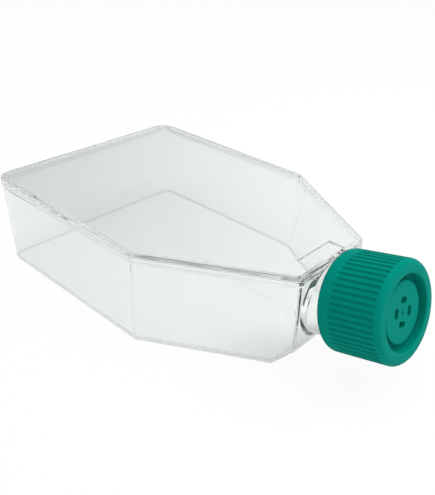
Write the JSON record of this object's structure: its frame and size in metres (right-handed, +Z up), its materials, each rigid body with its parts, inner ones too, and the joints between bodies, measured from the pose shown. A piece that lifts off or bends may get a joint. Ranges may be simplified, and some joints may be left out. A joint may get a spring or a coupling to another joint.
{
  "type": "cell culture flask",
  "caption": "Low clear six-sided culture flask with a welded flat top, a ramped front, a canted threaded neck and a fluted screw cap vented through a filter.",
  "frame": {"origin": "on the underside, on the mirror plane, at the middle of the parallel-sided length", "axes": "+X along the flask towards the neck and cap, +Z up from the growth surface to the top plate"},
  "size_m": [0.1501, 0.084, 0.0416],
  "materials": {
    "clear_polystyrene": "clear, polished mould surface",
    "teal_polyethylene": "opaque, satin moulded",
    "filter_membrane": "matte, porous"
  },
  "bodies": {
    "flask": {"flask_body": "clear_polystyrene", "top_plate": "clear_polystyrene"},
    "cap_carrier": {"vent_membrane": "filter_membrane"},
    "cap": {"cap": "teal_polyethylene"}
  },
  "joints": [
    {"name": "cap_rise", "type": "slide", "parent": "flask", "child": "cap_carrier", "axis": [0.9673, 0, 0.2538], "range_m": [0, 0.006]},
    {"name": "cap_turn", "type": "hinge", "parent": "cap_carrier", "child": "cap", "pos_m": [0.083, 0, 0.02038], "axis": [0.9673, 0, 0.2538], "range_deg": [0, 540]}
  ],
  "couplings": [
    {"joint": "cap_rise", "follows": "cap_turn", "m_per_rad": 0.0006366}
  ]
}
